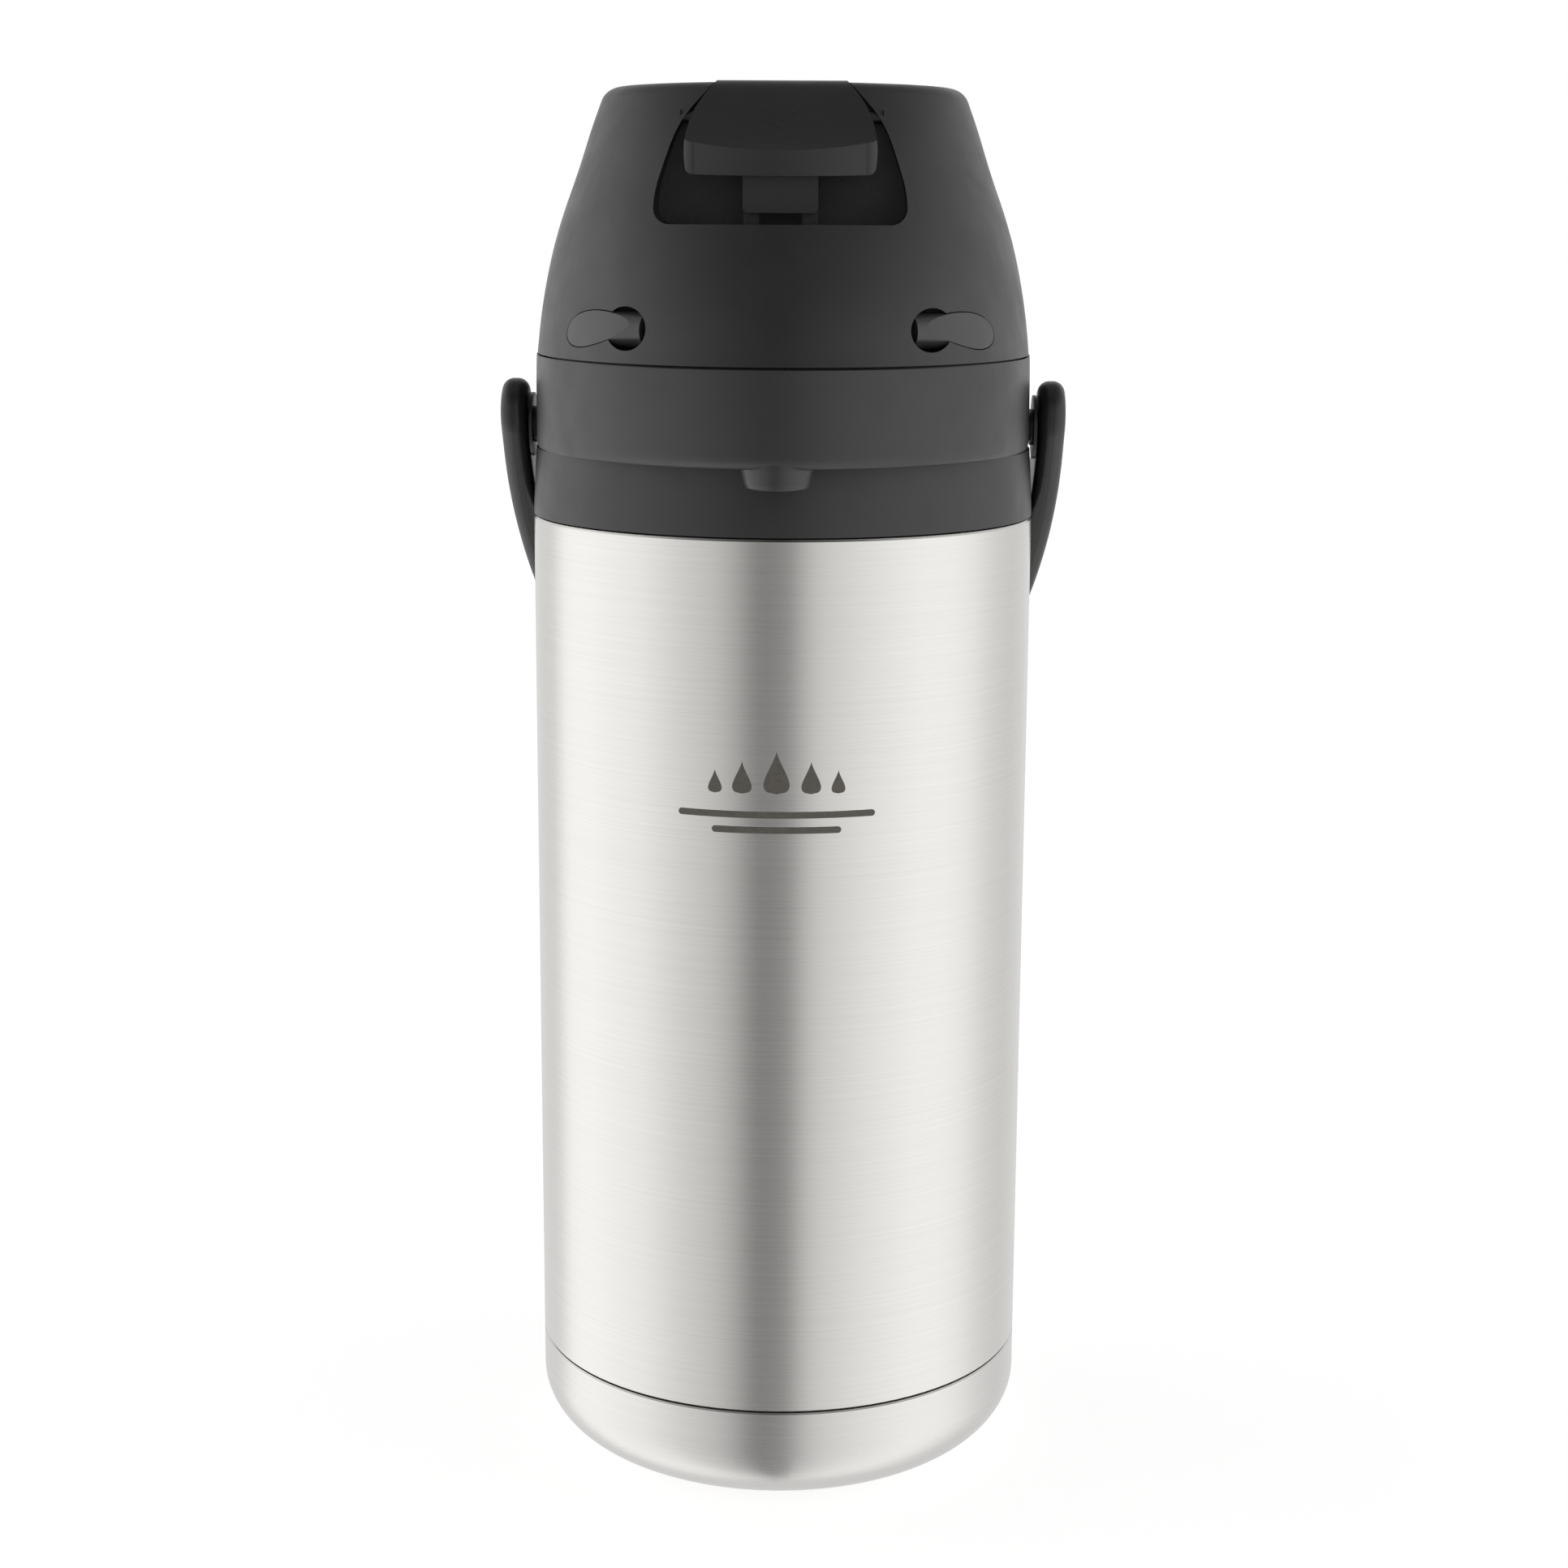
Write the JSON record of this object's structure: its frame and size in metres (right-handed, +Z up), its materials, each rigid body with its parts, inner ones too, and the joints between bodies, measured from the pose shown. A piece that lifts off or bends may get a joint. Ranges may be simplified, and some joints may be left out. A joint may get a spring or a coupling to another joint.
{
  "type": "thermal coffee airpot",
  "caption": "Vacuum-insulated pump airpot: brushed steel body on a swivel base, domed dark lid with a latch and pump plate, beak spout, swinging carry handle.",
  "frame": {"origin": "centre of the foot pad's underside, on the table", "axes": "+Z up along the flask's axis; the beak and spout point to -Y, the lid hinge is on the +Y side, +X runs across to the viewer's right when the spout faces the viewer"},
  "size_m": [0.168, 0.2003, 0.4206],
  "materials": {
    "foot_rubber": "matte black rubber",
    "base_plastic": "plain moulded black polypropylene",
    "hardware_steel": "bright zinc-plated steel",
    "cup_steel": "brushed stainless steel, grain around the body",
    "shell_steel": "brushed stainless steel, grain around the body",
    "vessel_steel": "plain stainless steel",
    "tube_steel": "stainless steel tube",
    "seal_silicone": "translucent white silicone",
    "collar_plastic": "fine-textured matte dark grey plastic",
    "housing_plastic": "fine-textured matte dark grey plastic",
    "nozzle_plastic": "smooth matte dark grey plastic",
    "handle_plastic": "satin near-black plastic",
    "hood_plastic": "fine-textured matte dark grey plastic",
    "button_plastic": "fine-textured matte dark grey plastic",
    "bellows_plastic": "milky flexible plastic",
    "latch_plastic": "satin dark grey plastic",
    "pin_plastic": "fine-textured matte dark grey plastic"
  },
  "bodies": {
    "base": {"foot_pad": "foot_rubber", "swivel_disc": "base_plastic", "swivel_washer": "hardware_steel", "swivel_screw": "hardware_steel"},
    "flask": {"base_cup": "cup_steel", "outer_shell": "shell_steel", "jacket_bottom": "vessel_steel", "vacuum_cap": "vessel_steel", "inner_vessel": "vessel_steel", "neck_nut": "base_plastic", "neck_gasket": "seal_silicone", "neck_plate": "base_plastic", "dip_tube": "tube_steel", "foot_strainer": "base_plastic", "shoulder_collar": "collar_plastic", "beak_housing": "housing_plastic", "collar_screws": "hardware_steel", "spout_nozzle": "nozzle_plastic", "outlet_pipe": "seal_silicone", "latch_keeper": "base_plastic", "handle_pin_left": "handle_plastic", "handle_pin_right": "handle_plastic", "handle_washer_left": "handle_plastic", "handle_washer_right": "handle_plastic"},
    "handle": {"carry_handle": "handle_plastic"},
    "lid": {"lid_hood": "hood_plastic", "lid_base_plate": "base_plastic", "lid_gasket": "seal_silicone", "lid_hinge_pin": "hardware_steel", "lid_screws": "hardware_steel", "latch_pin": "latch_plastic", "bellows": "bellows_plastic", "return_spring": "hardware_steel", "latch_spring": "hardware_steel", "release_spring_left": "hardware_steel", "release_spring_right": "hardware_steel"},
    "pump": {"press_plate": "button_plastic", "intake_valve": "seal_silicone"},
    "latch": {"latch_lever": "latch_plastic"},
    "pin_left": {"release_pin_left": "pin_plastic"},
    "pin_right": {"release_pin_right": "pin_plastic"}
  },
  "joints": [
    {"name": "base_swivel", "type": "hinge", "parent": "base", "child": "flask", "pos_m": [0, 0, 0], "axis": [0, 0, 1], "continuous": true},
    {"name": "handle_swing", "type": "hinge", "parent": "flask", "child": "handle", "pos_m": [0, 0, 0.322], "axis": [1, 0, 0], "range_deg": [0, 284]},
    {"name": "lid_hinge", "type": "hinge", "parent": "flask", "child": "lid", "pos_m": [0, 0.081, 0.3436], "axis": [-1, 0, 0], "range_deg": [0, 80]},
    {"name": "pump_press", "type": "slide", "parent": "lid", "child": "pump", "axis": [0, 0, -1], "range_m": [0, 0.026], "stiffness_N_per_m": 400, "deforming": ["bellows", "return_spring"]},
    {"name": "latch_lift", "type": "hinge", "parent": "lid", "child": "latch", "pos_m": [0, -0.043, 0.4105], "axis": [-1, 0, 0], "range_deg": [0, 12], "stiffness_Nm_per_rad": 0.6, "deforming": ["latch_spring"]},
    {"name": "pin_left_push", "type": "slide", "parent": "lid", "child": "pin_left", "axis": [0.8462, -0.5329, 0], "range_m": [0, 0.003], "stiffness_N_per_m": 600, "deforming": ["release_spring_left"]},
    {"name": "pin_right_push", "type": "slide", "parent": "lid", "child": "pin_right", "axis": [-0.8462, -0.5329, 0], "range_m": [0, 0.003], "stiffness_N_per_m": 600, "deforming": ["release_spring_right"]}
  ]
}
